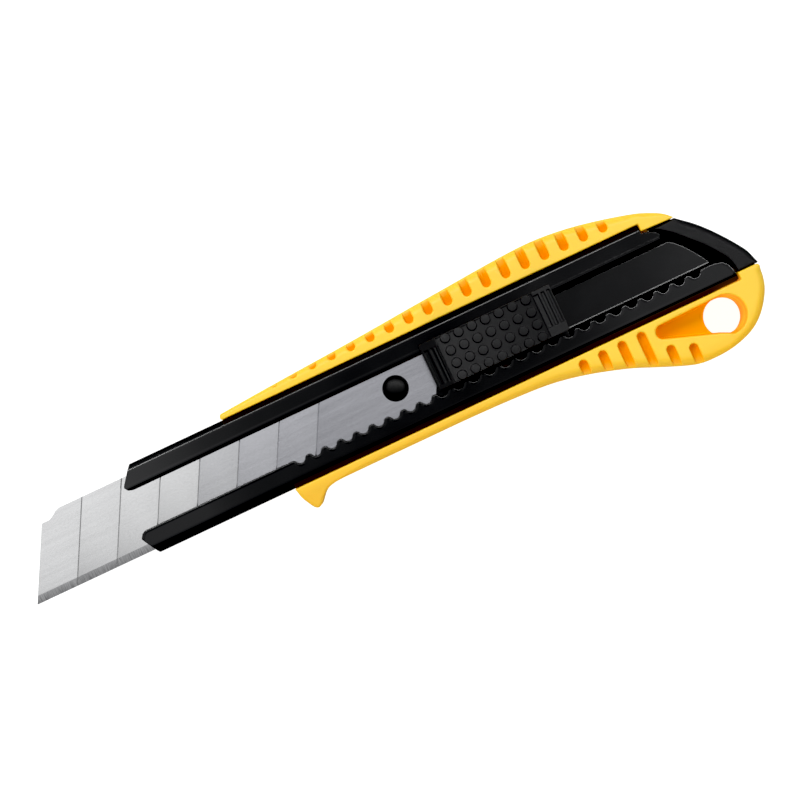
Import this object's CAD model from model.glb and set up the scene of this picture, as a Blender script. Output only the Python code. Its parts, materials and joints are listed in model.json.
"""A snap-off utility knife with a yellow handle, lying flat with its underside at z = 0.

The blade points to -x (front) and the end cap is at +x (rear). In the names, "upper" is the +y
side, "lower" is the -y side with the ground edge, and "top" is +z. Lengths are in mm.
"""
import json
import math
import bmesh
import bpy
import numpy as np
from mathutils import Matrix, Vector

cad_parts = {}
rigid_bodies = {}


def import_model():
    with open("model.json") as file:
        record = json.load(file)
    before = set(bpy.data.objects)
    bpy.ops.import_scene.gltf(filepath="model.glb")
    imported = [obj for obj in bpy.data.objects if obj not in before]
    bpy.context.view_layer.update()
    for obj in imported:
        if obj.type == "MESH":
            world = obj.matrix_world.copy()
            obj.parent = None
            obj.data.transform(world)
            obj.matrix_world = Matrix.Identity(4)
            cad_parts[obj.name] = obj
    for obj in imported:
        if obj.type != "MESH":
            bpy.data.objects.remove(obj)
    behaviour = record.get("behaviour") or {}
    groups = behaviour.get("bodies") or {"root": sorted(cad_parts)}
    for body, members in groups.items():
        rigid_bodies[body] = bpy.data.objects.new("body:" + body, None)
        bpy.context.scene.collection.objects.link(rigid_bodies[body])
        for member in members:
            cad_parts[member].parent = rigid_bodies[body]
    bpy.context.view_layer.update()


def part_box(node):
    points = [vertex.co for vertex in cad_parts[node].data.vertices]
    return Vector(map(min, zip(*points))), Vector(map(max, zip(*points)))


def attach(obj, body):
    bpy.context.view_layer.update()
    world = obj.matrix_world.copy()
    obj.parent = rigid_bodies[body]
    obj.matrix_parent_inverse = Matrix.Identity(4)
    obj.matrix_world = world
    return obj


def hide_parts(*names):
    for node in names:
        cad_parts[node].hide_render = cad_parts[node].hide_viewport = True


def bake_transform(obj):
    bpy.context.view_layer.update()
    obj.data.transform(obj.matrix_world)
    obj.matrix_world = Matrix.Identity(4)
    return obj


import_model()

MM = 0.001
COARSEN = 1.0

# ------------------------------------------------------------------ driving dimensions
FIT = 0.12   # gap between neighbours that do not move
GAP = 0.3    # clearance round parts that sit in a cut

HANDLE_TOP, HANDLE_EDGE = 11.4, 2.0
SLOT_HALF, SLOT_FLOOR = 10.9, 6.1
POCKET_FLOOR, LANYARD_R = 8.0, 4.55
GROOVE_WIDTH, GROOVE_DEPTH, GROOVE_PITCH = 2.2, 1.3, 4.875

CHANNEL_HALF, CHANNEL_BOTTOM, CHANNEL_TOP = 10.6, 6.4, 10.4
SHEET, BEND_R, TOP_BEND_R = 0.8, 1.5, 1.6
CHANNEL_STEP_X, CHANNEL_STEP_Y = 64.5, 8.45   # corner where the upper wall is cut away
CREST_Y, CREST_R = -4.7, 1.0
NOTCH_X0, NOTCH_Y, NOTCH_R, NOTCH_PITCH, NOTCHES = -27.6, -5.95, 1.225, 3.975, 26

CAP_TOP = 11.1
CAP_UPPER_Y = 8.5
CAP_LOWER_X, CAP_LOWER_Y = 80.7, -8.75
TONGUE_X0, TONGUE_Y0, TONGUE_Y1 = 60.0, -7.6, 8.0
RAIL_Z0, RAIL_Z1, RAIL_OUT = 4.2, 7.0, 1.1

BLADE_Y0, BLADE_Y1, BLADE_Z0, BLADE_THICK, BEVEL_WIDTH = -9.55, 8.45, 8.75, 0.5, 1.8
BLADE_SKEW, BLADE_FRONT, BLADE_REAR = 0.537, -90.95, 9.25   # skew is dx / dy
SCORE_X0, SCORE_PITCH, SCORES, SCORE_GAP = -80.95, 10.0, 7, 0.02
SCORE_HALF_WIDTH, SCORE_DEPTH = 0.15, 0.07

PEG_X, PEG_Y, PEG_R, PEG_HOLE_R = -1.1, 0.35, 2.75, 3.05
PLATE_Z0, PLATE_THICK = 7.75, 0.7
TAB_SPANS_X = ((11.35, 12.15), (37.0, 37.8))   # the holder's two tabs stand in the button
TAB_Y0, TAB_Y1 = -2.6, 1.2
SPRING_Z0, SPRING_THICK = 8.8, 0.35
TOOTH_X, TOOTH_R, TOOTH_TOP = 20.2, 0.85, 10.3

BUTTON_X0, BUTTON_X1, BUTTON_Y0, BUTTON_Y1 = 7.6, 40.2, -4.4, 6.9
BUTTON_Z0, BUTTON_Z1, BUTTON_CORNER_R = 11.7, 14.8, 0.4
DISH_X0, DISH_X1, DISH_DEPTH = 11.6, 35.7, 1.5
DOT_R, DOT_HEIGHT = 1.16, 0.5
DOT_X0, DOT_Y0, DOT_PITCH_X, DOT_PITCH_Y = 13.87, 5.87, 3.35, 3.06

# ------------------------------------------------------------------ measured outlines, (x, y)
CAP_INNER = [
    (67.4, 8.2), (70.8, 5.6), (73.7, 2.7), (76.2, 0.1), (78.3, -2.6), (79.9, -5.0),
    (80.55, -6.9), (CAP_LOWER_X, CAP_LOWER_Y)]
CAP_OUTER = [
    (85.8, CAP_LOWER_Y), (84.9, -5.6), (83.2, -2.8), (80.9, 0.35), (78.2, 3.6), (75.8, 6.0),
    (72.7, CAP_UPPER_Y)]
HANDLE_HOOK = [
    (-31.4, -11.2), (-30.9, -13.2), (-30.0, -15.0), (-29.2, -16.3), (-28.4, -16.75),
    (-27.5, -16.4), (-26.6, -15.4), (-25.6, -14.35), (-24.4, -13.6), (-22.6, -13.15),
    (-20.2, -13.0)]
HANDLE_LOWER = [
    (-20.2, -13.0), (-8, -13.0), (2, -13.0), (10.1, -13.0), (20.2, -13.2), (30.3, -13.75),
    (35.4, -14.5), (40.5, -15.65), (45.5, -17.1), (50.6, -18.8), (55.6, -20.9), (60.7, -23.0),
    (63.6, -24.0), (66.4, -24.35), (71.4, -24.15), (75.6, -23.2), (78.8, -21.8), (81.4, -19.75),
    (83.6, -17.0), (85.0, -14.4), (85.65, -11.9), (85.8, -9.9)]
HANDLE_UPPER = [
    (72.75, CAP_UPPER_Y + FIT), (70.8, 10.45), (68.4, 11.8), (65.7, 12.95), (60.7, 14.4),
    (55.6, 15.6), (50.6, 16.55), (45.5, 17.2), (40.5, 17.5), (35.4, 17.4), (30.3, 17.1),
    (25.3, 16.75), (20.2, 16.35), (10.1, 15.6), (0, 14.8), (-10.1, 14.05), (-20.2, 13.4),
    (-30.3, 12.7), (-38.9, 12.05)]
LOWER_GROOVES = [
    (39.9, -11.8), (44.8, -11.75), (49.65, -11.7), (54.5, -11.7), (59.35, -17.25), (64.2, -19.1)]


# ------------------------------------------------------------------ curves
def arc(x, y, radius, start, end, steps):
    """Points on a circle between two angles in degrees."""
    angles = [math.radians(start + (end - start) * k / steps) for k in range(steps + 1)]
    return [(x + radius * math.cos(angle), y + radius * math.sin(angle)) for angle in angles]


def spline(points, per_span=6):
    """A centripetal Catmull-Rom curve through the points."""
    path = [Vector(point) for point in points]
    path = [path[0] * 2 - path[1]] + path + [path[-1] * 2 - path[-2]]
    out = []
    for i in range(1, len(path) - 2):
        p0, p1, p2, p3 = path[i - 1:i + 3]
        knots = [0.0]
        for start, end in ((p0, p1), (p1, p2), (p2, p3)):
            knots.append(knots[-1] + max((end - start).length, 1e-6) ** 0.5)
        t0, t1, t2, t3 = knots
        for k in range(per_span):
            at = t1 + (t2 - t1) * k / per_span

            def between(start, end, t_start, t_end):
                span = t_end - t_start
                return start * (t_end - at) / span + end * (at - t_start) / span

            middle = between(p1, p2, t1, t2)
            left = between(between(p0, p1, t0, t1), middle, t0, t2)
            right = between(middle, between(p2, p3, t2, t3), t1, t3)
            point = between(left, right, t1, t2)
            out.append((point.x, point.y))
    out.append(tuple(points[-1]))
    return out


def without_repeats(points):
    """Drops points that fall on the one before; only x and y are compared."""
    kept = [points[0]]
    for point in points[1:]:
        if math.hypot(point[0] - kept[-1][0], point[1] - kept[-1][1]) >= 0.02:
            kept.append(point)
    return kept


def relaxed(values):
    """A closed ring of values, each averaged with its neighbours."""
    count = len(values)
    return [(values[i - 1] + 2 * values[i] + values[(i + 1) % count]) / 4 for i in range(count)]


# ------------------------------------------------------------------ signed-distance modelling
class Grid:
    """A box of sample points. Fields on it hold distances, negative inside the material."""

    def __init__(self, x_span, y_span, z_span, pitch):
        self.pitch = pitch = pitch * COARSEN
        self.origin = (x_span[0], y_span[0], z_span[0])
        x, y, z = (np.arange(low, high + pitch, pitch, dtype=np.float32)
                   for low, high in (x_span, y_span, z_span))
        self.plan_x, self.plan_y = np.meshgrid(x, y, indexing="ij")
        self.x, self.y, self.z = x[:, None, None], y[None, :, None], z[None, None, :]


class CrossSection:
    """A grid's y-z plane, for outlines drawn across the knife."""

    def __init__(self, grid):
        self.plan_x, self.plan_y = np.meshgrid(grid.y.ravel(), grid.z.ravel(), indexing="ij")


def outline(grid, points, radii=None):
    """Signed distance in the plane to a closed outline.

    With radii, one per point, it also returns the radius at the nearest outline point.
    """
    x, y = grid.plan_x, grid.plan_y
    nearest = np.full(x.shape, 1e9, np.float32)
    inside = np.zeros(x.shape, bool)
    radius = np.zeros(x.shape, np.float32)
    for i, (ax, ay) in enumerate(points):
        after = (i + 1) % len(points)
        bx, by = points[after]
        edge_x, edge_y = bx - ax, by - ay
        length_sq = edge_x * edge_x + edge_y * edge_y
        if length_sq < 1e-12:
            continue
        from_x, from_y = x - ax, y - ay
        along = np.clip((from_x * edge_x + from_y * edge_y) / length_sq, 0, 1)
        squared = (from_x - edge_x * along) ** 2 + (from_y - edge_y * along) ** 2
        if radii is not None:
            closer = squared < nearest
            radius[closer] = (radii[i] + (radii[after] - radii[i]) * along)[closer]
        nearest = np.minimum(nearest, squared)
        if ay != by:
            crossed = (y >= min(ay, by)) & (y < max(ay, by))
            inside ^= crossed & (x < ax + (y - ay) * edge_x / edge_y)
    distance = np.sqrt(nearest)
    distance[inside] *= -1
    return distance if radii is None else (distance, radius)


def column(grid, points):
    """An outline pulled endlessly along z."""
    return outline(grid, points)[:, :, None]


def slab(plan, rounding, z, z0, z1):
    """A plane field pulled from z0 to z1, its edges rounded by a number or a plane of radii."""
    if isinstance(rounding, np.ndarray):
        rounding = rounding[:, :, None]
    side = plan[:, :, None] + rounding
    face = np.abs(z - (z0 + z1) / 2) - (z1 - z0) / 2 + rounding
    outside = np.hypot(np.maximum(side, 0), np.maximum(face, 0))
    return np.minimum(np.maximum(side, face), 0) + outside - rounding


def box(grid, *spans):
    """A box from its x, y and z spans."""
    gap_x, gap_y, gap_z = (np.abs(axis - (low + high) / 2) - (high - low) / 2
                           for axis, (low, high) in zip((grid.x, grid.y, grid.z), spans))
    outside = np.sqrt(sum(np.maximum(gap, 0) ** 2 for gap in (gap_x, gap_y, gap_z)))
    return outside + np.minimum(np.maximum(np.maximum(gap_x, gap_y), gap_z), 0)


def ridge(distance, width):
    """A bell-shaped swell, 1 where the distance is 0."""
    return np.exp(-((distance / width) ** 2))


def intersect(a, b, soft):
    weight = np.clip(0.5 + 0.5 * (a - b) / soft, 0, 1)
    return b + (a - b) * weight + soft * weight * (1 - weight) * 0.5


def join(a, b, soft):
    return -intersect(-a, -b, soft)


def cut(body, tool, soft):
    return intersect(body, -tool, soft)


def surface_nets(grid, field):
    """One vertex in every cell the surface crosses, one quad for every crossed grid edge."""
    field = field.astype(np.float32)
    cells = [size - 1 for size in field.shape]
    stride = (cells[1] * cells[2], cells[2], 1)
    cell_ids, crossings, quads = [], [], []
    for axis in range(3):
        near, far = [slice(None)] * 3, [slice(None)] * 3
        near[axis], far[axis] = slice(0, -1), slice(1, None)
        near, far = field[tuple(near)], field[tuple(far)]
        hit = np.nonzero((near < 0) != (far < 0))
        near, far = near[hit], far[hit]
        point = np.stack(hit, 1).astype(np.float32)
        point[:, axis] += near / (near - far)
        u, v = (axis + 1) % 3, (axis + 2) % 3
        inner = (hit[u] > 0) & (hit[u] < cells[u]) & (hit[v] > 0) & (hit[v] < cells[v])
        base = (hit[0] * stride[0] + hit[1] * stride[1] + hit[2] * stride[2])[inner]
        corners = [base - du * stride[u] - dv * stride[v]
                   for du, dv in ((1, 1), (0, 1), (0, 0), (1, 0))]
        cell_ids += corners
        crossings += [point[inner]] * 4
        quad = np.stack(corners, 1)
        flipped = near[inner] >= 0
        quad[flipped] = quad[flipped][:, ::-1]
        quads.append(quad)
    crossings = np.concatenate(crossings)
    used, vertex = np.unique(np.concatenate(cell_ids), return_inverse=True)
    count = np.bincount(vertex).astype(np.float32)
    places = np.stack([np.bincount(vertex, crossings[:, k]) / count for k in range(3)], 1)
    places = places * grid.pitch + np.array(grid.origin)
    return places.astype(np.float32), np.searchsorted(used, np.concatenate(quads))


def sample(grid, field, points):
    """Trilinear values of a field at points."""
    scaled = (points - np.array(grid.origin)) / grid.pitch
    cell = np.clip(np.floor(scaled).astype(int), 0, np.array(field.shape) - 2)
    part = np.clip(scaled - cell, 0, 1)
    sides = (1 - part, part)
    total = 0
    for dx, dy, dz in np.ndindex(2, 2, 2):
        weight = sides[dx][:, 0] * sides[dy][:, 1] * sides[dz][:, 2]
        total = total + weight * field[cell[:, 0] + dx, cell[:, 1] + dy, cell[:, 2] + dz]
    return total


# ------------------------------------------------------------------ meshes
def link_object(name, mesh):
    thing = bpy.data.objects.new(name, mesh)
    bpy.context.scene.collection.objects.link(thing)
    return thing


def vertex_places(mesh):
    flat = np.empty(len(mesh.vertices) * 3, np.float32)
    mesh.vertices.foreach_get("co", flat)
    return flat.reshape(-1, 3)


def shade_smooth(mesh):
    mesh.polygons.foreach_set("use_smooth", np.ones(len(mesh.polygons), bool))


def quad_object(name, places, quads):
    mesh = bpy.data.meshes.new(name)
    mesh.vertices.add(len(places))
    mesh.vertices.foreach_set("co", (places * MM).astype(np.float32).ravel())
    mesh.loops.add(quads.size)
    mesh.loops.foreach_set("vertex_index", quads.astype(np.int32).ravel())
    mesh.polygons.add(len(quads))
    mesh.polygons.foreach_set("loop_start", np.arange(0, quads.size, 4, dtype=np.int32))
    shade_smooth(mesh)
    mesh.update(calc_edges=True)
    mesh.validate()
    return link_object(name, mesh)


def apply_modifiers(thing):
    evaluated = thing.evaluated_get(bpy.context.evaluated_depsgraph_get())
    new = bpy.data.meshes.new_from_object(evaluated)
    old = thing.data
    thing.modifiers.clear()
    thing.data = new
    bpy.data.meshes.remove(old)


def from_field(name, grid, field, keep, uncut=None):
    """Meshes a field and keeps a share of its faces.

    With the uncut body's field, the attribute "sunk" stores how deep each vertex lies in it.
    """
    thing = quad_object(name, *surface_nets(grid, field))
    thing.modifiers.new("thin", "DECIMATE").ratio = keep
    apply_modifiers(thing)
    mesh = thing.data
    shade_smooth(mesh)
    if uncut is not None:
        depth = np.clip(-sample(grid, uncut, vertex_places(mesh) / MM), 0, 10)
        sunk = mesh.attributes.new("sunk", "FLOAT", "POINT")
        sunk.data.foreach_set("value", depth.astype(np.float32))
    return thing


def bmesh_object(name, bm):
    bmesh.ops.recalc_face_normals(bm, faces=bm.faces)
    mesh = bpy.data.meshes.new(name)
    bm.to_mesh(mesh)
    bm.free()
    return link_object(name, mesh)


def cut_with(thing, tool):
    modifier = thing.modifiers.new("cut", "BOOLEAN")
    modifier.operation, modifier.solver, modifier.object = "DIFFERENCE", "EXACT", tool
    apply_modifiers(thing)
    bpy.data.objects.remove(tool)


def cylinder(x, y, z0, z1, radius, steps=72):
    bm = bmesh.new()
    middle = Matrix.Translation((x * MM, y * MM, (z0 + z1) / 2 * MM))
    bmesh.ops.create_cone(bm, cap_ends=True, segments=steps, radius1=radius * MM,
                          radius2=radius * MM, depth=(z1 - z0) * MM, matrix=middle)
    return bmesh_object("cyl", bm)


def prism(name, points, z0, z1):
    bm = bmesh.new()
    base = bm.faces.new([bm.verts.new((x * MM, y * MM, z0 * MM)) for x, y in points])
    pulled = bmesh.ops.extrude_face_region(bm, geom=[base])["geom"]
    verts = [item for item in pulled if isinstance(item, bmesh.types.BMVert)]
    bmesh.ops.translate(bm, verts=verts, vec=(0, 0, (z1 - z0) * MM))
    return bmesh_object(name, bm)


def smooth_below(thing, angle):
    """Smooth shading, with sharp edges where faces meet at the angle or more."""
    bm = bmesh.new()
    bm.from_mesh(thing.data)
    for face in bm.faces:
        face.smooth = True
    for edge in bm.edges:
        turn_is_soft = edge.calc_face_angle(0) < math.radians(angle)
        edge.smooth = len(edge.link_faces) == 2 and turn_is_soft
    bm.to_mesh(thing.data)
    bm.free()


def revolve(name, profile, x, y, steps=96):
    """Turns a closed profile of (radius, z) about a vertical axis."""
    bm = bmesh.new()
    rings = []
    for radius, z in profile:
        angles = [2 * math.pi * k / steps for k in range(steps)] if radius else [0.0]
        rings.append([bm.verts.new(((x + radius * math.cos(angle)) * MM,
                                    (y + radius * math.sin(angle)) * MM, z * MM))
                      for angle in angles])
    for a, b in zip(rings, rings[1:]):
        for i in range(steps):
            j = (i + 1) % steps
            if len(a) == 1:
                bm.faces.new((a[0], b[j], b[i]))
            elif len(b) == 1:
                bm.faces.new((a[i], a[j], b[0]))
            else:
                bm.faces.new((a[i], a[j], b[j], b[i]))
    thing = bmesh_object(name, bm)
    smooth_below(thing, angle=40)
    return thing


def place(thing, body, node, slot, *materials):
    """Puts a piece in its CAD node's stead, trimmed to the node's own box."""
    low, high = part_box(node)
    mesh = thing.data
    places = np.clip(vertex_places(mesh), np.array(low), np.array(high)).astype(np.float32)
    mesh.vertices.foreach_set("co", places.ravel())
    mesh.update()
    for index, material in enumerate(materials):
        # a boolean cut may leave empty slots, which are filled before any is added
        if index < len(mesh.materials):
            mesh.materials[index] = material
        else:
            mesh.materials.append(material)
    if isinstance(body, tuple):
        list(body)
        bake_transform(thing)
    else:
        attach(thing, body)
    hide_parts(node)


# ------------------------------------------------------------------ shader helpers
class Shader:
    """A node tree. Most helpers add a node and return its output socket."""

    def __init__(self, tree):
        self.nodes, self.links = tree.nodes, tree.links

    def feed(self, node, inputs):
        """Links sockets and sets plain values; colours are given as three numbers."""
        for key, value in inputs.items():
            socket = node.inputs[key]
            if isinstance(value, bpy.types.NodeSocket):
                self.links.new(value, socket)
            else:
                socket.default_value = (*value, 1) if socket.type == "RGBA" else value

    def node(self, kind, inputs={}, **settings):
        node = self.nodes.new("ShaderNode" + kind)
        for name, value in settings.items():
            setattr(node, name, value)
        self.feed(node, inputs)
        return node

    def principled(self, inputs):
        self.feed(self.nodes["Principled BSDF"], inputs)

    def position(self, stretch=(1, 1, 1)):
        source = self.node("TexCoord").outputs["Object"]
        return self.node("Mapping", {"Scale": stretch, "Vector": source}).outputs["Vector"]

    def axes(self, vector):
        return self.node("SeparateXYZ", {0: vector}).outputs

    def noise(self, vector, scale, detail=3.0, rough=0.5):
        inputs = {"Scale": scale, "Detail": detail, "Roughness": rough, "Vector": vector}
        return self.node("TexNoise", inputs).outputs["Fac"]

    def remap(self, value, source, to):
        inputs = {"From Min": source[0], "From Max": source[1],
                  "To Min": to[0], "To Max": to[1], "Value": value}
        return self.node("MapRange", inputs).outputs["Result"]

    def ramp(self, value, stops):
        """Colour stops of (position, colour)."""
        node = self.node("ValToRGB", {"Fac": value})
        elements = node.color_ramp.elements
        while len(elements) > 1:
            elements.remove(elements[-1])
        elements[0].position = stops[0][0]
        elements[0].color = (*stops[0][1], 1)
        for position, color in stops[1:]:
            elements.new(position).color = (*color, 1)
        return node.outputs["Color"]

    def graph(self, value, reach, stops, unit=1.0):
        """Half the height of a graph with stops of (place, height), from -reach to reach."""
        share = self.remap(value, (-reach * unit, reach * unit), to=(0.0, 1.0))
        return self.ramp(share, [((place + reach) / (2 * reach), (height / 2,) * 3)
                                 for place, height in stops])

    def mix(self, factor, a, b, kind="MIX"):
        inputs = {0: factor, 6: a, 7: b}
        return self.node("Mix", inputs, data_type="RGBA", blend_type=kind).outputs[2]

    def calc(self, operation, a, b):
        return self.node("Math", {0: a, 1: b}, operation=operation).outputs[0]

    def bump(self, height, strength, distance):
        inputs = {"Strength": strength, "Distance": distance, "Height": height}
        self.principled({"Normal": self.node("Bump", inputs).outputs["Normal"]})


def new_material(name):
    material = bpy.data.materials.new(name)
    material.use_nodes = True
    return material, Shader(material.node_tree)


# ------------------------------------------------------------------ materials
def yellow_plastic():
    """Yellow on the faces, turning to orange where the surface is sunk into the body."""
    material, shader = new_material("yellow moulded plastic")
    calc, remap, mix = shader.calc, shader.remap, shader.mix
    position = shader.position()
    fine = shader.noise(position, scale=4200, detail=4)
    broad = shader.noise(position, scale=55, detail=2)
    face = shader.ramp(broad, [(0.3, (0.945, 0.60, 0.040)), (0.7, (0.975, 0.63, 0.048))])
    deep = mix(broad, (0.93, 0.31, 0.0005), (0.96, 0.335, 0.001))
    sunk = shader.node("Attribute", attribute_name="sunk").outputs["Fac"]
    is_deep = remap(sunk, (0.15, 1.0), to=(0.0, 1.0))
    is_far = remap(sunk, (1.6, 3.0), to=(0.0, 0.7))
    x, y, _ = shader.axes(position)
    # warmer towards the lower edge; the heights give the edge's depth below y = 0, in 20 mm
    lower_edge = shader.graph(x, 100, [
        (-30, 0.65), (10, 0.65), (30, 0.69), (40, 0.78), (50, 0.93), (60, 1.14), (66, 1.21),
        (72, 1.2), (79, 1.09), (84, 0.83)], unit=MM)
    above_edge = calc("ADD", y, calc("MULTIPLY", lower_edge, 0.04))
    shade = remap(above_edge, (0.0002, 0.0032), to=(0.9, 0.0))
    rearward = remap(x, (0.035, 0.055), to=(0.0, 1.0))
    face = mix(shade, face, mix(rearward, (0.85, 0.475, 0.028), (0.95, 0.525, 0.020)))
    base = mix(is_far, mix(is_deep, face, deep), (1.0, 0.47, 0.012))
    # light that comes through the thin wall round the hole
    normal_z = shader.axes(shader.node("NewGeometry").outputs["True Normal"])[2]
    upright = remap(calc("ABSOLUTE", normal_z, 0.0), (0.3, 0.8), to=(1.0, 0.0))
    near_hole = remap(x, (0.0735, 0.0765), to=(0.0, 0.42))
    in_cut = remap(sunk, (0.3, 1.2), to=(0.0, 1.0))
    shader.principled({
        "Base Color": base,
        "Emission Color": (1.0, 0.40, 0.06),
        "Emission Strength": calc("MULTIPLY", calc("MULTIPLY", upright, near_hole), in_cut),
        "Roughness": remap(fine, (0.3, 0.7), to=(0.34, 0.46)),
        "Specular IOR Level": remap(sunk, (0.1, 0.9), to=(0.42, 0.03)),
        "Subsurface Weight": 0.12,
        "Subsurface Radius": (1.0, 0.45, 0.1),
        "Subsurface Scale": 0.0012,
        "IOR": 1.5})
    shader.bump(fine, strength=0.18, distance=0.00006)
    return material


def coat_black(shader, position, base, roughness):
    """Black gloss coating with a faint orange peel."""
    peel = shader.noise(position, scale=900)
    broad = shader.noise(position, scale=90)
    shader.principled({
        "Base Color": shader.mix(broad, base, tuple(part * 1.35 for part in base)),
        "Roughness": shader.remap(broad, (0.3, 0.7), to=roughness)})
    shader.bump(peel, strength=0.06, distance=0.00003)


def black_steel(name, base, roughness, specular):
    material, shader = new_material(name)
    coat_black(shader, shader.position(), base, roughness)
    shader.principled({"Specular IOR Level": specular})
    return material


def channel_steel():
    """Gloss coating, bright towards the open ends and dull in the folded trench."""
    material, shader = new_material("black coated steel")
    position = shader.position()
    x, y, z = shader.axes(position)
    upper_wear = shader.graph(x, 100, [
        (-66, 1.65), (-58, 1.5), (-52, 1.3), (-46, 1.0), (-40, 0.92), (-34, 0.82), (-28, 0.78),
        (26, 0.78), (32, 0.85), (38, 0.95), (62, 0.85)], unit=MM)
    lower_wear = shader.graph(x, 100, [
        (-66, 1.15), (-52, 1.22), (-46, 0.92), (-40, 0.78), (26, 0.8), (32, 0.88), (44, 1.05),
        (50, 1.3), (56, 1.6), (80, 1.55)], unit=MM)
    inside_wear = shader.graph(x, 100, [(20, 1.0), (45, 1.1), (60, 1.2), (72, 1.5)], unit=MM)
    is_upper = shader.remap(y, (-0.001, 0.001), to=(0.0, 1.0))
    is_lip = shader.remap(z, (0.0095, 0.0099), to=(0.0, 1.0))
    dulling = shader.remap(z, (0.00732, 0.00739), to=(0.12, 1.0))
    # the graphs come at half height, hence the doubling
    lip_gloss = shader.calc("MULTIPLY", shader.mix(is_upper, lower_wear, upper_wear), 2.0)
    inside_gloss = shader.calc("MULTIPLY", inside_wear, 2.0)
    gloss = shader.calc("MULTIPLY", shader.mix(is_lip, inside_gloss, lip_gloss), dulling)
    shader.principled({"Specular IOR Level": shader.calc("MULTIPLY", gloss, 0.30)})
    coat_black(shader, position, base=(0.0018, 0.0019, 0.0023), roughness=(0.13, 0.19))
    return material


def black_plastic(name, base, roughness, grain, strength, distance, specular):
    material, shader = new_material(name)
    position = shader.position()
    fine = shader.noise(position, scale=grain, detail=4, rough=0.6)
    broad = shader.noise(position, scale=130)
    shader.principled({
        "Base Color": shader.mix(broad, base, tuple(part * 1.5 for part in base)),
        "Roughness": shader.remap(fine, (0.3, 0.7), to=roughness),
        "Specular IOR Level": specular})
    shader.bump(fine, strength, distance)
    return material


def blade_steel(tone, cool=0.0):
    """Bright steel with faint draw marks along the strip."""
    material, shader = new_material("ground blade steel")
    along = shader.position(stretch=(1.0, 26.0, 1.0))
    across = shader.position(stretch=(18.0, 1.0, 1.0))
    draw = shader.noise(along, scale=60, detail=5, rough=0.6)
    cross = shader.noise(across, scale=300, detail=4, rough=0.6)
    cloud = shader.noise(shader.position(), scale=45, detail=2)
    grain_place = shader.position(stretch=(1.0, 2.2, 1.0))
    grain = shader.noise(grain_place, scale=1500, detail=3, rough=0.6)
    tint = (1.0 - cool * 0.2, 1.0 - cool * 0.1, 1.0 + cool)

    def steel(factor):
        return tuple(tone * factor * part for part in tint)

    base = shader.ramp(draw, [(0.25, steel(0.96)), (0.75, steel(1.03))])
    base = shader.mix(shader.remap(cloud, (0.35, 0.65), to=(0.0, 0.5)), base, steel(1.0))
    specks = shader.ramp(grain, [(0.3, (0.93, 0.93, 0.93)), (0.6, (1.0, 1.0, 1.0))])
    shader.principled({
        "Base Color": shader.mix(1.0, base, specks, "MULTIPLY"),
        "Metallic": 1.0,
        "Roughness": shader.remap(draw, (0.3, 0.7), to=(0.17, 0.23))})
    shader.bump(shader.mix(0.35, draw, cross), strength=0.05, distance=0.00002)
    return material


def streaked_steel(name, stretch, scale, detail, rough, tones, roughness, strength, distance):
    """Bare steel whose colour, gloss and relief follow one stretched noise."""
    material, shader = new_material(name)
    streaks = shader.noise(shader.position(stretch), scale, detail, rough)
    shader.principled({
        "Base Color": shader.ramp(streaks, tones),
        "Metallic": 1.0,
        "Roughness": shader.remap(streaks, (0.3, 0.7), to=roughness)})
    shader.bump(streaks, strength, distance)
    return material


YELLOW = yellow_plastic()
CHANNEL = channel_steel()
HOLDER = black_steel("black holder steel", base=(0.002, 0.002, 0.0024),
                     roughness=(0.24, 0.34), specular=0.2)
PEG = black_steel("black peg", base=(0.002, 0.002, 0.0022),
                  roughness=(0.34, 0.44), specular=0.16)
BUTTON = black_plastic("matte black plastic", base=(0.0048, 0.0048, 0.0052),
                       roughness=(0.38, 0.52), grain=5200, strength=0.35,
                       distance=0.00008, specular=0.24)
CAP = black_plastic("grained black plastic", base=(0.0045, 0.0045, 0.005),
                    roughness=(0.38, 0.55), grain=3600, strength=0.6,
                    distance=0.00014, specular=0.22)
# (tone, coolness) of each blade length, from the tip to the tang
STEELS = [blade_steel(tone, cool) for tone, cool in (
    (0.70, 0.0), (0.72, 0.0), (0.76, 0.0), (0.78, 0.0),
    (0.67, 0.02), (0.65, 0.04), (0.62, 0.05), (0.56, 0.06))]
BEVEL = streaked_steel(
    "ground edge steel", stretch=(10.0, 0.6, 1.0), scale=420, detail=5, rough=0.7,
    tones=[(0.30, (0.27, 0.272, 0.276)), (0.66, (0.70, 0.70, 0.705))],
    roughness=(0.26, 0.42), strength=0.25, distance=0.00004)
SPRING = streaked_steel(
    "tempered spring steel", stretch=(1.0, 12.0, 1.0), scale=700, detail=4, rough=0.6,
    tones=[(0.3, (0.010, 0.008, 0.006)), (0.7, (0.022, 0.017, 0.013))],
    roughness=(0.26, 0.4), strength=0.15, distance=0.00003)


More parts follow.
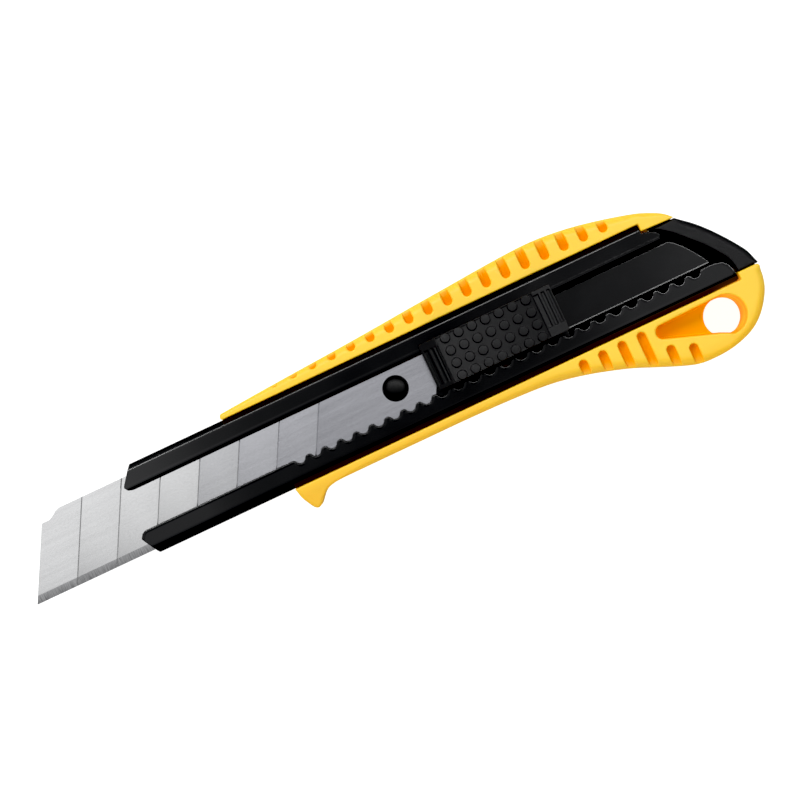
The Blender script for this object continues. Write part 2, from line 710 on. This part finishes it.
# ------------------------------------------------------------------ handle
def handle_outline():
    """The closed outline and the edge radius at each of its points."""
    def lower_radius(x, y):
        if x < 66:
            return min(HANDLE_EDGE, max(0.6, 0.6 * (-SLOT_HALF - y)))
        return min(HANDLE_EDGE, 1.3 + abs(x - 72) * 0.06)

    def upper_radius(x, y):
        if x < 66:
            return min(HANDLE_EDGE, max(0.5, 0.55 * (y - SLOT_HALF)))
        return max(0.25, min(HANDLE_EDGE, 0.36 * (y - 8.7)))

    cap_seat = [(x - FIT, y) for x, y in spline(CAP_INNER, 4)][::-1]
    runs = [   # (path, edge radius)
        ([(-40.1, 10.4), (-31.4, -11.2)], 0.25),
        (spline(HANDLE_HOOK, 4), 0.55),
        (spline(HANDLE_LOWER, 5)[1:], lower_radius),
        (arc(84.95, -9.72, 0.85, 0, 90, 6)[1:], 0.5),
        ([(CAP_LOWER_X + FIT, CAP_LOWER_Y - FIT)], 0.2),
        (cap_seat, 0.15),
        ([(66.9, CAP_UPPER_Y + FIT)], 0.15),
        (spline(HANDLE_UPPER, 5), upper_radius),
        (arc(-39.3, 11.25, 0.8, 95, 180, 6)[1:], 0.5)]
    points = without_repeats([(x, y, radius(x, y) if callable(radius) else radius)
                              for path, radius in runs for x, y in path])
    radii = [radius for _, _, radius in points]
    for _ in range(6):
        radii = [min(pair) for pair in zip(radii, relaxed(radii))]
    return [(x, y) for x, y, _ in points], radii


def groove_field(grid):
    """Plane distance to the finger grooves: round at the inner end, open at the handle's edge."""
    grooves = [(-25.8 + GROOVE_PITCH * k, 12.2, 1) for k in range(18)]
    grooves += [(x, y, -1) for x, y in LOWER_GROOVES]
    field = np.full(grid.plan_x.shape, 50, np.float32)
    radius = GROOVE_WIDTH / 2
    for x, y, outward in grooves:
        inward = np.minimum((grid.plan_y - (y + outward * radius)) * outward, 0)
        field = np.minimum(field, np.hypot(grid.plan_x - x, inward) - radius)
    return field[:, :, None]


def build_handle():
    grid = Grid((-41.5, 87.2), (-25.8, 18.9), (-1.0, 12.4), pitch=0.2)
    x, y, z = grid.plan_x, grid.plan_y, grid.z
    plan, radius = outline(grid, *handle_outline())
    body = slab(plan, radius, z, 0.0, HANDLE_TOP)
    half = CHANNEL_HALF + FIT
    cap_low, cap_high = CAP_LOWER_Y - FIT, CAP_UPPER_Y + FIT
    slot = column(grid, [
        (-60, -half), (80.55, -half), (80.55, cap_low), (110, cap_low), (110, cap_high),
        (72.75, cap_high), (CHANNEL_STEP_X + FIT, 8.95), (CHANNEL_STEP_X + FIT, half),
        (-60, half)])
    field = cut(body, np.maximum(slot, SLOT_FLOOR - z), 0.25)
    # room for the end cap's tongue and its two rails
    tongue_y = (TONGUE_Y0 - GAP, TONGUE_Y1 + GAP)
    field = cut(field, box(grid, (TONGUE_X0 - GAP, 110), tongue_y, (2.6, 30)), 0.2)
    for start, side in ((66.9, (0, CAP_UPPER_Y + RAIL_OUT + GAP)),
                        (80.9, (CAP_LOWER_Y - RAIL_OUT - GAP, 0))):
        rail = box(grid, (start, 110), side, (RAIL_Z0 - GAP, RAIL_Z1 + GAP))
        field = cut(field, rail, 0.15)
    # teardrop pockets in the top and the underside, and the lanyard hole through the floor
    tear = outline(grid, arc(59.4, -13.9, 1.75, 95, 245, 15) + [(71.33, -19.95), (73.2, -20.85)]
                   + arc(74.25, -16.5, 4.7, 266, 445, 28))
    wall = tear[:, :, None]
    draft = 0.12
    top_pocket = intersect(wall + (z - HANDLE_TOP) * -draft, POCKET_FLOOR - z, 0.5)
    bottom_pocket = intersect(wall + z * draft, z - (HANDLE_TOP - POCKET_FLOOR), 0.5)
    field = cut(field, top_pocket, 0.7)
    field = cut(field, bottom_pocket, 0.7)
    # the hole's rear half is shifted a little to the rear and down
    shift = np.clip((x - 73.7) / 0.35, 0, 1)
    hole = np.hypot(x - 73.7 - 0.35 * shift, y + 16.6 + 0.16 * shift) - LANYARD_R + 0.05
    field = cut(field, np.maximum(hole, tear + 0.35)[:, :, None], 0.8)
    grooves = groove_field(grid)
    top_grooves = intersect(grooves + (HANDLE_TOP - z) * 0.15, HANDLE_TOP - GROOVE_DEPTH - z, 0.35)
    bottom_grooves = intersect(grooves + z * 0.15, z - GROOVE_DEPTH, 0.35)
    field = cut(field, np.minimum(top_grooves, bottom_grooves), 0.3)
    # the mould's parting line
    parting = 0.07 * ridge(z - HANDLE_TOP / 2, 0.16)
    field = field + parting * (np.abs(plan) < 0.6)[:, :, None]
    handle = from_field("handle_body_look", grid, field, keep=0.22, uncut=body)
    place(handle, "handle", "handle_body", "yellow_plastic", YELLOW)


# ------------------------------------------------------------------ channel
def notch_wave():
    """The notched edge: round notches joined by round crests."""
    notch_y, crest_y = NOTCH_Y + NOTCH_R, CREST_Y - CREST_R
    turn = math.degrees(math.atan2(crest_y - notch_y, NOTCH_PITCH / 2))
    points = []
    for k in range(NOTCHES):
        x = NOTCH_X0 + NOTCH_PITCH * k
        points += arc(x - NOTCH_PITCH / 2, crest_y, CREST_R, 90, -turn, 5)
        points += arc(x, notch_y, NOTCH_R, 180 - turn, 360 + turn, 9)
        points += arc(x + NOTCH_PITCH / 2, crest_y, CREST_R, 180 + turn, 90, 5)
    return without_repeats(points)


def folded_sheet(grid):
    """The channel's wall, with a wide soft bend at the top of the notched side."""
    section = CrossSection(grid)
    top_y = CHANNEL_HALF - TOP_BEND_R
    top_z = CHANNEL_TOP - 0.07 - TOP_BEND_R
    soft_bend = [(-8.2 + 2.4 * math.cos(math.radians(angle)),
                  top_z + TOP_BEND_R * math.sin(math.radians(angle)))
                 for angle in range(90, 181, 6)]
    low_y, low_z = CHANNEL_HALF - BEND_R, CHANNEL_BOTTOM + BEND_R
    outer = outline(section, arc(top_y, top_z, TOP_BEND_R, 0, 90, 15) + soft_bend
                    + arc(-low_y, low_z, BEND_R, 180, 270, 15)
                    + arc(low_y, low_z, BEND_R, 270, 360, 15))
    radius = BEND_R - SHEET
    side = CHANNEL_HALF - SHEET - radius
    low, high = CHANNEL_BOTTOM + SHEET + radius, CHANNEL_TOP - SHEET - radius
    corners = ((side, high), (-side, high), (-side, low), (side, low))
    inner = outline(section, [point for k, (y, z) in enumerate(corners)
                              for point in arc(y, z, radius, 90 * k, 90 * k + 90, 8)])
    sheet = np.maximum(outer, -inner)[None]
    return np.broadcast_to(sheet, (grid.x.size, grid.y.size, grid.z.size)).copy()


def build_channel():
    grid = Grid((-69.2, 82.0), (-11.4, 11.4), (5.7, 11.1), pitch=0.125)
    y, z = grid.y, grid.z
    field = folded_sheet(grid)
    # raised panel along the floor
    panel = column(grid, [(-60, -4.3), (76.5, -4.3), (76.0, -3.4), (74.3, -0.7), (72.6, 1.6),
                          (70.9, 3.4), (69.6, 4.3), (-60, 4.3)])
    rim = 0.06 * ridge(panel + 0.16, 0.12) * (y < -3.6)
    panel_top = z - (CHANNEL_BOTTOM + SHEET + 0.2) - rim
    panel_sides = np.maximum(panel, CHANNEL_BOTTOM + 0.3 - z)
    field = join(field, intersect(panel_sides, panel_top, 0.1), 0.1)
    # opening between the two lips
    lower_front = [(-90, -3.0), (-90, -5.1), (-67.9, -5.9), (-67.4, -5.15), (-66.6, CREST_Y)]
    lower_rear = [(76.6, CREST_Y), (78.6, -5.25), (79.6, -6.3), (80.2, -8.0), (80.4, -10.0),
                  (80.4, -12)]
    upper_edge = [(120, -12), (120, CHANNEL_STEP_Y), (65.2, CHANNEL_STEP_Y), (67.7, 7.35),
                  (68.3, 6.5), (67.9, 5.4), (67.0, 4.7), (-63.6, 4.7), (-65.2, 4.85),
                  (-66.2, 5.2), (-66.6, 5.9), (-90, 5.9)]
    opening = column(grid, lower_front + notch_wave() + lower_rear + upper_edge)
    # rolled beads along the edges of the lips
    high = np.clip((z - 9.8) / 0.3, 0, 1)
    bead = np.where(y > 0, 0.5 * ridge(y - 5.9, 0.2), ridge(opening - 0.32, 0.16))
    field = field - 0.06 * bead * high
    field = cut(field, np.maximum(opening, 9.2 - z), 0.22)
    # the upper lip's edge leans in under the bead
    lean = ((y - 4.7) - (z - 9.6)) * 0.7071
    under_bead = np.maximum(np.maximum(lean, y - 6.6), np.maximum(-y, 9.3 - z))
    field = cut(field, under_bead, 0.16)
    # ends: the shaped front, the step in the upper wall and the rear of the floor
    front = column(grid, [(-90, 14), (-62.0, 14), (-63.75, 10.2), (-66.65, 6.4), (-66.9, 4.8),
                          (-67.9, -4.8), (-68.0, -6.3), (-65.6, -10.6), (-65.0, -14), (-90, -14)])
    field = cut(field, front, 0.25)
    field = cut(field, box(grid, (CHANNEL_STEP_X, 140), (CHANNEL_STEP_Y, 34), (-20, 40)), 0.2)
    rear = column(grid, [
        (CHANNEL_STEP_X, 14), (CHANNEL_STEP_X, CHANNEL_STEP_Y), (66.6, 7.1), (71.2, 4.1),
        (73.3, 2.0), (75.1, -0.4), (77.0, -3.3), (78.2, -4.9), (79.3, -7.2), (79.9, -8.4),
        (80.1, -14), (120, -14), (120, 14)])
    field = cut(field, np.maximum(rear, z - 9.2), 0.2)
    channel = from_field("blade_channel_look", grid, field, keep=0.25)
    place(channel, "handle", "blade_channel", "black_coated_steel", CHANNEL)


# ------------------------------------------------------------------ end cap
def build_cap():
    grid = Grid((59.2, 86.8), (-10.6, 10.4), (-0.5, 12.0), pitch=0.13)
    inner, outer = spline(CAP_INNER, 6), spline(CAP_OUTER, 6)
    # wide edges on the outer curve, small ones on the inner curve and at the two ends
    radii = [0.35] * len(inner) + [0.4] * 2 + [1.6] * (len(outer) - 4) + [0.4] * 2
    for _ in range(4):
        radii = relaxed(radii)
    plan, radius = outline(grid, inner + outer, radii)
    field = slab(plan, radius, grid.z, 0.2, CAP_TOP)
    chamfer = 1.2
    tongue = outline(grid, [
        (TONGUE_X0 + chamfer, TONGUE_Y0), (82.5, TONGUE_Y0), (81.6, -5.0), (79.9, -2.4),
        (78.0, 0.2), (75.6, 3.1), (72.6, 5.9), (70.2, 7.6), (69.6, 8.25),
        (TONGUE_X0 + chamfer, 8.25), (TONGUE_X0, TONGUE_Y1 - chamfer),
        (TONGUE_X0, TONGUE_Y0 + chamfer)])
    field = join(field, slab(tongue, 0.3, grid.z, 2.9, 5.8), 0.3)
    upper_y, lower_y = CAP_UPPER_Y + RAIL_OUT, CAP_LOWER_Y - RAIL_OUT
    upper_rail = [(67.02, 7.6), (72.2, 7.6), (72.6, 8.4), (71.6, upper_y), (67.02, upper_y)]
    lower_rail = [(81.3, -7.9), (85.3, -7.9), (85.6, CAP_LOWER_Y), (85.3, lower_y),
                  (81.3, lower_y)]
    for rail in (upper_rail, lower_rail):
        field = join(field, slab(outline(grid, rail), 0.2, grid.z, RAIL_Z0, RAIL_Z1), 0.2)
    slit = column(grid, [(90, -8), (85.0, -12), (81.9, -6.3), (79.7, -2.6), (77.4, 0.6),
                         (74.9, 3.5), (72.6, 6.3), (74.4, 9.6), (92, 14)])
    field = cut(field, np.maximum(slit, np.abs(grid.z - 8.55) - 0.55), 0.25)
    cap = from_field("end_cap_look", grid, field, keep=0.3)
    place(cap, "cap", "end_cap", "black_grained_plastic", CAP)


# ------------------------------------------------------------------ thumb button
def dish_height(x):
    share = np.clip((x - DISH_X0) / (DISH_X1 - DISH_X0), 0, 1)
    return BUTTON_Z1 - 0.35 - DISH_DEPTH * np.clip(np.sin(np.pi * share), 0, 1) ** 0.8


def step(distance, width):
    """1 inside (distance < 0), 0 outside, with a soft wall of the given width."""
    share = np.clip(0.5 - distance / width, 0, 1)
    return share * share * (3 - 2 * share)


def outside_span(values, low, high):
    return np.maximum(low - values, values - high)


def button_top(x, y, pitch):
    """Height of the button's top over the plane."""
    in_dish = (x > DISH_X0) & (x < DISH_X1)
    # front block: a sloped nose, stepped grooves and a narrow groove before the dish
    nose = 13.0 + (x - BUTTON_X0) / (DISH_X0 - 0.4 - BUTTON_X0) * (BUTTON_Z1 - 0.1 - 13.0)
    top = np.where(x < DISH_X0, nose, BUTTON_Z1 - 0.15)
    top = np.where(in_dish, dish_height(x), top).astype(np.float32)
    inside = outside_span(y, -3.4, 5.0)
    for x0, x1, depth in ((8.2, 9.1, 0.3), (9.75, 10.4, 0.22), (10.75, 11.1, 0.16)):
        top = top - depth * step(np.maximum(outside_span(x, x0, x1), inside), 0.22)
    top = top - 0.45 * step(np.maximum(np.abs(x - 11.65) - 0.12, inside), 0.2)
    # rear block: three grooves
    inside = outside_span(y, -2.1, 5.9)
    for x0, x1, depth in ((35.75, 37.0, 0.34), (37.7, 38.45, 0.26), (39.1, 39.75, 0.26)):
        top = top - depth * step(np.maximum(outside_span(x, x0, x1), inside), 0.2)
    # grip dots, slightly domed, each in a shallow ring
    for i in range(7):
        for j in range(4):
            reach = np.hypot(x - (DOT_X0 + DOT_PITCH_X * i), y - (DOT_Y0 - DOT_PITCH_Y * j))
            dome = 1 - 0.08 * np.clip(reach / DOT_R, 0, 1) ** 2
            ring = step(np.abs(reach - DOT_R - 0.14) - 0.12, 0.14)
            top = top + DOT_HEIGHT * step(reach - DOT_R + 0.05, 0.12) * dome - 0.24 * ring
    to_edge = np.minimum(np.minimum(x - BUTTON_X0, BUTTON_X1 - x),
                         np.minimum(y - BUTTON_Y0, BUTTON_Y1 - y))
    dish_floor = dish_height(x) + 0.12 * step(to_edge - 0.3, 0.2)
    return np.where(in_dish, np.maximum(top, dish_floor), top)


def build_button():
    grid = Grid((BUTTON_X0 - 0.6, BUTTON_X1 + 0.6), (BUTTON_Y0 - 0.6, BUTTON_Y1 + 0.6),
                (8.7, 15.4), pitch=0.08)
    x, y = grid.plan_x, grid.plan_y
    top = button_top(x, y, grid.pitch)
    slope_x, slope_y = np.gradient(top, grid.pitch)
    slope = np.sqrt(1 + np.clip(slope_x * slope_x + slope_y * slope_y, 0, 9))
    above = (grid.z - top[:, :, None]) / slope[:, :, None]
    over_x, over_y = (
        np.maximum(np.abs(values - (low + high) / 2) - (high - low) / 2 + BUTTON_CORNER_R, 0)
        for values, low, high in ((x, BUTTON_X0, BUTTON_X1), (y, BUTTON_Y0, BUTTON_Y1)))
    sides = np.hypot(over_x, over_y) - BUTTON_CORNER_R
    field = intersect(sides[:, :, None], above, 0.2)
    field = intersect(field, BUTTON_Z0 - grid.z, 0.3)
    for x0, x1 in TAB_SPANS_X:
        tab_room = box(grid, (x0 - GAP, x1 + GAP), (TAB_Y0 - GAP, TAB_Y1 + GAP), (5, 13.6))
        field = cut(field, tab_room, 0.15)
    # foot that reaches down to the lock spring
    foot_bottom = SPRING_Z0 + SPRING_THICK + 0.2
    foot = box(grid, (22.1, 26.9), (-4.2, -2.9), (foot_bottom, 12.2)) - 0.1
    field = join(field, foot, 0.2)
    button = from_field("thumb_button_look", grid, field, keep=0.45)
    place(button, "button", "thumb_button", "black_matte_plastic", BUTTON)


# ------------------------------------------------------------------ blade
def blade_piece(name, x0, x1, scored_front, scored_rear):
    """A slanted length of blade with a ground edge and half a score groove at scored ends."""
    z0, z1 = BLADE_Z0, BLADE_Z0 + BLADE_THICK
    middle = (z0 + z1) / 2
    stations = [   # (x at y = 0, how far the top is lowered)
        (x0, SCORE_DEPTH if scored_front else 0.0), (x0 + SCORE_HALF_WIDTH, 0.0),
        (x1 - SCORE_HALF_WIDTH, 0.0), (x1, SCORE_DEPTH if scored_rear else 0.0)]
    bm = bmesh.new()
    rows = []
    for x, lowered in stations:
        bevel_y = BLADE_Y0 + BEVEL_WIDTH
        profile = [(BLADE_Y1, z0), (BLADE_Y1, z1 - lowered), (bevel_y, z1 - lowered),
                   (BLADE_Y0, middle + 0.03 - lowered * 0.15), (BLADE_Y0, middle - 0.03),
                   (bevel_y, z0)]
        rows.append([bm.verts.new(((x + BLADE_SKEW * y) * MM, y * MM, z * MM))
                     for y, z in profile])
    for a, b in zip(rows, rows[1:]):
        for i in range(6):
            j = (i + 1) % 6
            face = bm.faces.new((a[i], a[j], b[j], b[i]))
            face.material_index = 1 if i in (2, 3, 4) else 0   # the ground faces
    bm.faces.new(rows[0][::-1])
    bm.faces.new(rows[-1])
    return bmesh_object(name, bm)


def build_blade():
    scores = [SCORE_X0 + SCORE_PITCH * k for k in range(SCORES)]
    ends = [BLADE_FRONT] + scores + [BLADE_REAR]
    for k in range(SCORES + 1):
        is_tip, is_tang = k == 0, k == SCORES
        node = "blade_tang" if is_tang else f"blade_segment_{k + 1}"
        x0 = ends[k] + (0 if is_tip else SCORE_GAP / 2)
        x1 = ends[k + 1] - (0 if is_tang else SCORE_GAP / 2)
        piece = blade_piece(node + "_look", x0, x1, not is_tip, not is_tang)
        if is_tip:   # the upper front corner is trimmed
            cut_with(piece, prism("trim", [
                (-100, 6.8), (-85.9, 6.8), (-85.3, 6.85), (-84.4, 7.3), (-83.4, 8.0),
                (-82.6, 8.35), (-81.8, 8.5), (-81.8, 12), (-100, 12)], 0, 20))
        if is_tang:
            cut_with(piece, cylinder(PEG_X, PEG_Y, 5, 15, PEG_HOLE_R))
        smooth_below(piece, angle=12)
        slot = "blade_tang_steel" if is_tang else "blade_steel"
        place(piece, "carriage", node, slot, STEELS[k], BEVEL)


# ------------------------------------------------------------------ carriage
def build_holder():
    grid = Grid((-7.2, 41.0), (-8.2, 8.0), (7.2, 13.1), pitch=0.12)
    plate = outline(grid, [
        (-6.5, -6.2), (-5.0, -7.6), (13.2, -7.6), (14.5, -6.4), (14.5, -2.1), (33.2, -2.1),
        (33.2, -7.6), (39.0, -7.6), (40.3, -6.2), (40.3, 4.4), (38.6, 6.0), (14.0, 6.0),
        (12.6, 7.4), (-5.0, 7.4), (-6.5, 6.0)])
    field = slab(plate, 0.15, grid.z, PLATE_Z0, PLATE_Z0 + PLATE_THICK)
    edge = 0.1   # rounding of the tabs
    for x0, x1 in TAB_SPANS_X:
        tab = box(grid, (x0 + edge, x1 - edge), (TAB_Y0 + edge, TAB_Y1 - edge),
                  (PLATE_Z0 + 0.2, 12.5)) - edge
        field = join(field, tab, 0.3)
    # countersunk hole under the peg
    reach = np.hypot(grid.plan_x - PEG_X, grid.plan_y - PEG_Y)[:, :, None]
    field = cut(field, reach - np.maximum(1.55, 2.25 - (grid.z - PLATE_Z0) * 1.75), 0.1)
    holder = from_field("blade_holder_look", grid, field, keep=0.35)
    place(holder, "carriage", "blade_holder", "holder_black_steel", HOLDER)


def build_peg():
    dome = [(PEG_R * math.cos(math.radians(angle)), 9.3 + 0.95 * math.sin(math.radians(angle)))
            for angle in range(0, 90, 6)]
    plate_top = PLATE_Z0 + PLATE_THICK
    shank = [(0, PLATE_Z0 + 0.03), (2.15, PLATE_Z0 + 0.03), (1.5, PLATE_Z0 + 0.43),
             (1.5, plate_top + 0.06), (PEG_R - 0.15, plate_top + 0.06), (PEG_R, plate_top + 0.2)]
    peg = revolve("holder_peg_look", shank + dome + [(0, 10.25)], PEG_X, PEG_Y)
    place(peg, "carriage", "holder_peg", "peg_black_gloss", PEG)


def build_spring():
    grid = Grid((16.6, 39.2), (-8.0, -2.0), (8.3, 10.8), pitch=0.08)
    leaf = outline(grid, [
        (17.3, -6.4), (18.6, -7.4), (33.5, -7.4), (38.6, -7.4), (38.6, -3.2), (35.9, -3.2),
        (34.5, -2.6), (18.6, -2.6), (17.3, -3.6)])
    field = slab(leaf, 0.1, grid.z, SPRING_Z0, SPRING_Z0 + SPRING_THICK)
    # round tooth with a dimple in its top and a chamfered rim
    reach = np.hypot(grid.plan_x - TOOTH_X, grid.plan_y - (NOTCH_Y + 1.2))[:, :, None]
    height = np.abs(grid.z - (SPRING_Z0 + TOOTH_TOP) / 2) - (TOOTH_TOP - SPRING_Z0) / 2
    tooth = np.maximum(reach - TOOTH_R, height)
    tooth = cut(tooth, np.maximum(reach - 0.42, TOOTH_TOP - 0.35 - grid.z), 0.12)
    tooth = intersect(tooth, reach + grid.z - TOOTH_TOP - TOOTH_R + 0.25, 0.1)
    spring = from_field("lock_spring_look", grid, join(field, tooth, 0.15), keep=0.4)
    # held at its rear end; its front bends down with the thumb button's foot
    bending = ("carriage", "button", (0.0362, -0.005, 0.009), (0.0272, -0.005, 0.009))
    place(spring, bending, "lock_spring", "spring_steel", SPRING)


build_handle()
build_channel()
build_cap()
build_button()
build_blade()
build_holder()
build_peg()
build_spring()

# ------------------------------------------------------------------ studio
VIEW_TURN = math.radians(25.2)   # the view is turned clockwise about z
VIEW_UP = Vector((math.sin(VIEW_TURN), math.cos(VIEW_TURN), 0))
VIEW_RIGHT = Vector((math.cos(VIEW_TURN), -math.sin(VIEW_TURN), 0))

scene = bpy.context.scene


def set_colour_management():
    view = scene.view_settings
    view.view_transform = "Standard"
    view.look = "None"
    view.exposure = 0.0
    view.use_curve_mapping = True
    view.curve_mapping.black_level = (0.01, 0.01, 0.01)
    view.curve_mapping.update()


def floor_material():
    """White to the camera, mid grey as a light source and nearly black in reflections."""
    material, shader = new_material("pale floor")
    rays = shader.node("LightPath").outputs
    seen = shader.mix(rays["Is Glossy Ray"], (0.6, 0.6, 0.6), (0.05, 0.05, 0.05))
    to_camera = shader.remap(rays["Is Camera Ray"], (0, 1), to=(0.04, 0.92))
    to_diffuse = shader.remap(rays["Is Diffuse Ray"], (0, 1), to=(0.0, 0.42))
    shader.principled({
        "Base Color": shader.mix(rays["Is Camera Ray"], seen, (0.4, 0.4, 0.4)),
        "Roughness": 0.9,
        "Specular IOR Level": 0.1,
        "Emission Color": (1, 1, 1),
        "Emission Strength": shader.calc("ADD", to_camera, to_diffuse)})
    # clear to the camera from underneath, so that the back can be looked at
    backfacing = shader.node("NewGeometry").outputs["Backfacing"]
    both = shader.node("MixShader", {
        0: shader.calc("MULTIPLY", backfacing, rays["Is Camera Ray"]),
        1: shader.nodes["Principled BSDF"].outputs[0],
        2: shader.node("BsdfTransparent").outputs[0]})
    shader.feed(shader.nodes["Material Output"], {"Surface": both.outputs[0]})
    return material


def build_floor():
    bm = bmesh.new()
    bmesh.ops.create_grid(bm, x_segments=1, y_segments=1, size=4.0)
    floor = bmesh_object("floor", bm)
    floor.location.z = -0.0002
    floor.data.materials.append(floor_material())


def build_world():
    """An even sky for lighting; mirrors see a softbox overhead that fades along the knife."""
    world = bpy.data.worlds.new("studio")
    scene.world = world
    world.use_nodes = True
    shader = Shader(world.node_tree)
    direction = shader.node("TexCoord").outputs["Generated"]

    def brightness_along(axis, stops):
        dot = shader.node("VectorMath", {0: direction, 1: axis}, operation="DOT_PRODUCT")
        return shader.graph(dot.outputs["Value"], 1, stops)

    sweep = brightness_along(VIEW_RIGHT, [
        (-1.0, 0.3), (-0.7, 0.55), (-0.35, 0.85), (-0.16, 1.2), (-0.12, 1.3), (-0.095, 1.1),
        (-0.08, 0.82), (-0.06, 0.62), (-0.03, 0.46), (0.0, 0.40), (0.07, 0.46), (0.12, 0.7),
        (0.17, 0.9), (0.35, 0.85), (0.7, 0.55), (1.0, 0.3)])
    rise = brightness_along(VIEW_UP, [
        (-1.0, 0.05), (-0.36, 0.06), (-0.27, 0.7), (-0.2, 1.0), (0.15, 1.0), (0.24, 0.8),
        (0.33, 1.2), (0.40, 1.1), (0.48, 0.5), (0.75, 0.35), (1.0, 0.25)])
    # both graphs come at half height, hence the factor of four
    mirrored = shader.calc("MULTIPLY", shader.mix(1.0, sweep, rise, "MULTIPLY"), 4.0)
    rays = shader.node("LightPath").outputs
    plain = shader.remap(rays["Is Camera Ray"], (0.0, 1.0), to=(0.41, 1.0))
    sky = shader.node("Mix", {0: rays["Is Glossy Ray"], 2: plain, 3: mirrored},
                      data_type="FLOAT")
    shader.feed(shader.nodes["Background"],
                {"Color": (0.985, 0.99, 1.0), "Strength": sky.outputs[0]})


def area_light(name, right, up, height, size, power, size_y=None, mirror_only=False):
    """A softbox aimed at the origin, placed in metres right and up in the view."""
    light = bpy.data.lights.new(name, "AREA")
    light.shape = "RECTANGLE"
    light.size, light.size_y, light.energy = size, size_y or size, power
    lamp = link_object(name, light)
    lamp.location = VIEW_RIGHT * right + VIEW_UP * up + Vector((0, 0, height))
    lamp.rotation_euler = (-lamp.location).to_track_quat("-Z", "Y").to_euler()
    lamp.visible_glossy, lamp.visible_diffuse = mirror_only, not mirror_only
    return lamp


def build_lights():
    area_light("top_left", right=-0.45, up=0.5, height=0.55, size=0.4, power=5.0)
    area_light("top_right", right=0.75, up=0.45, height=0.6, size=0.4, power=2.4)
    area_light("low_front", right=-0.1, up=-0.8, height=0.4, size=0.6, power=3.6)
    strip = area_light("strip", right=0.0, up=0.24, height=0.62, size=0.9, power=3.0,
                       size_y=0.05, mirror_only=True)
    # the blade mirrors the sky alone: from some sides the strip would burn it out
    lit = bpy.data.collections.new("strip_lit")
    for thing in scene.objects:
        if thing.type == "MESH" and thing.data.materials and thing.data.materials[0]:
            if not thing.data.materials[0].name.startswith("ground blade steel"):
                lit.objects.link(thing)
    strip.light_linking.receiver_collection = lit


def build_camera():
    """Looks straight down on the knife."""
    lens = bpy.data.cameras.new("camera")
    lens.lens, lens.sensor_width = 98.55, 36.0
    lens.clip_start, lens.clip_end = 0.01, 20
    camera = link_object("camera", lens)
    turn = Matrix(((VIEW_RIGHT.x, VIEW_UP.x, 0, 0), (VIEW_RIGHT.y, VIEW_UP.y, 0, 0),
                   (0, 0, 1, 0), (0, 0, 0, 1)))
    camera.matrix_world = Matrix.Translation((-0.001315, -0.002478, 0.509)) @ turn
    scene.camera = camera


set_colour_management()
build_floor()
build_world()
build_lights()
build_camera()
